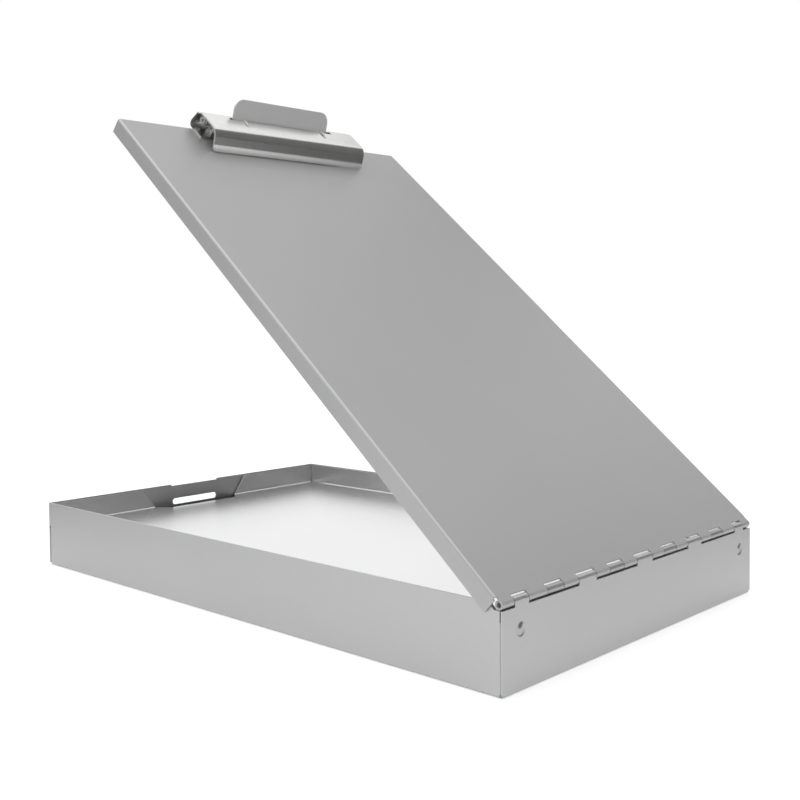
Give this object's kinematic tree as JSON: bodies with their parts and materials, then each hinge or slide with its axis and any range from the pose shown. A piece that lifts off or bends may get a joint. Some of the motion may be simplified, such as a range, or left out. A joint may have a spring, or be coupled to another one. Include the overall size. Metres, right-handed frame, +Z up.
{
  "type": "storage clipboard",
  "caption": "Folded aluminium storage clipboard: a shallow tray with a lift-up inner pan under a hinged writing lid that carries a spring clip.",
  "frame": {"origin": "middle of the tray's flat underside, on the table", "axes": "+Z up; +Y along the tray from the hinge end to the clip end; +X across the tray"},
  "size_m": [0.2344, 0.3554, 0.2916],
  "materials": {
    "tray_aluminium": "satin folded sheet",
    "pan_aluminium": "bright satin folded sheet",
    "lid_aluminium": "satin folded sheet",
    "rivet_aluminium": "plain",
    "pin_steel": "drawn wire",
    "clip_nickel": "bright nickel plate",
    "clip_steel": "plated sheet",
    "spring_steel": "spring wire"
  },
  "bodies": {
    "tray": {"tray_shell": "tray_aluminium", "corner_rivets": "rivet_aluminium", "hinge_pin": "pin_steel"},
    "pan": {"inner_pan": "pan_aluminium"},
    "lid": {"lid": "lid_aluminium", "lid_catch": "spring_steel", "clip_base": "clip_nickel", "clip_rivets": "rivet_aluminium", "clip_rod": "clip_steel"},
    "jaw": {"clip_jaw": "clip_nickel", "clip_lever": "clip_steel", "spring_left": "spring_steel", "spring_right": "spring_steel"}
  },
  "joints": [
    {"name": "pan_hinge", "type": "hinge", "parent": "tray", "child": "pan", "pos_m": [0, -0.1757, 0.0388], "axis": [1, 0, 0], "range_deg": [0, 45]},
    {"name": "lid_hinge", "type": "hinge", "parent": "pan", "child": "lid", "pos_m": [0, -0.1757, 0.0388], "axis": [1, 0, 0], "range_deg": [-40.9, 94.1]},
    {"name": "jaw_hinge", "type": "hinge", "parent": "lid", "child": "jaw", "pos_m": [0, 0.08306, 0.27617], "axis": [-1, 0, 0], "range_deg": [0, 32], "stiffness_Nm_per_rad": 0.6, "springref_deg": -28.65}
  ]
}
